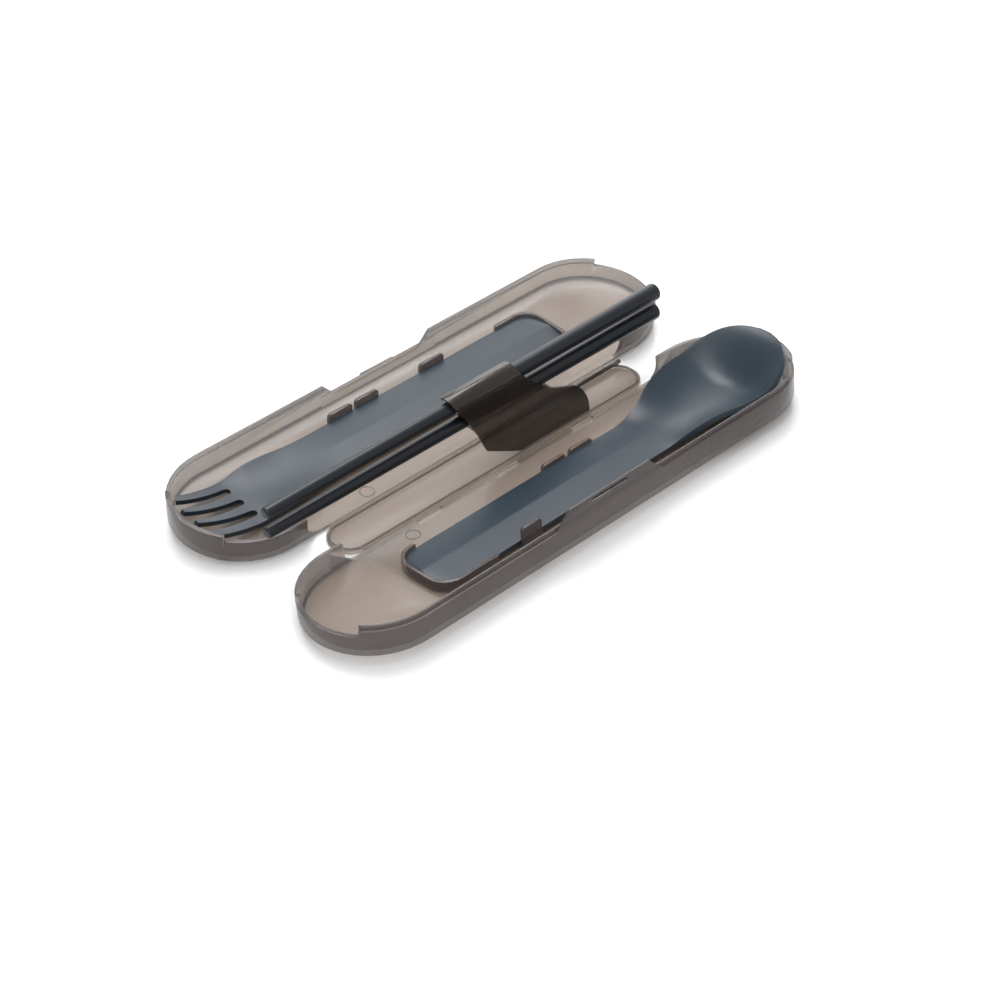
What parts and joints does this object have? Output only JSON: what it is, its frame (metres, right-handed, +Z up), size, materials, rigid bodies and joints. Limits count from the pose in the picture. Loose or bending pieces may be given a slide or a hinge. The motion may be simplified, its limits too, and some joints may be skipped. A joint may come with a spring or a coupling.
{
  "type": "picnic cutlery",
  "caption": "Slim hinged travel case of two trays and a spine, holding a spoon, a fork and a pair of chopsticks under a clip.",
  "frame": {"origin": "centre of the spine, on the surface the open case lies on", "axes": "+X along the case towards the spoon's bowl, +Y from the spoon tray to the fork tray, +Z up"},
  "size_m": [0.2, 0.112, 0.0323],
  "materials": {
    "smoky_plastic": "smoky translucent moulded plastic, smooth outside",
    "dark_plastic": "dark smoky translucent moulded plastic",
    "slate_plastic": "satin slate blue moulded plastic",
    "navy_plastic": "satin near-black navy plastic"
  },
  "bodies": {
    "spine": {"spine": "smoky_plastic", "front_hinge_film": "smoky_plastic", "rear_hinge_film": "smoky_plastic", "chopstick_clip": "dark_plastic", "clip_rod": "dark_plastic"},
    "front_tray": {"front_tray": "smoky_plastic"},
    "rear_tray": {"rear_tray": "smoky_plastic"},
    "spoon": {"spoon": "slate_plastic"},
    "fork": {"fork": "slate_plastic"},
    "chopstick_upper": {"chopstick_upper": "navy_plastic"},
    "chopstick_lower": {"chopstick_lower": "navy_plastic"}
  },
  "joints": [
    {"name": "front_hinge", "type": "hinge", "parent": "spine", "child": "front_tray", "pos_m": [0, -0.0082, 0.0014], "axis": [1, 0, 0], "range_deg": [-85.9, 4.1]},
    {"name": "rear_hinge", "type": "hinge", "parent": "spine", "child": "rear_tray", "pos_m": [0, 0.0082, 0.0014], "axis": [-1, 0, 0], "range_deg": [-85.9, 4.1]},
    {"name": "spoon_lift", "type": "slide", "parent": "front_tray", "child": "spoon", "axis": [0, 0.0715, 0.9974], "range_m": [0, 0.06]},
    {"name": "fork_lift", "type": "slide", "parent": "rear_tray", "child": "fork", "axis": [0, -0.0715, 0.9974], "range_m": [0, 0.06]},
    {"name": "upper_stick_pull", "type": "slide", "parent": "spine", "child": "chopstick_upper", "axis": [1, 0, 0], "range_m": [0, 0.12]},
    {"name": "lower_stick_pull", "type": "slide", "parent": "spine", "child": "chopstick_lower", "axis": [1, 0, 0], "range_m": [0, 0.12]}
  ]
}
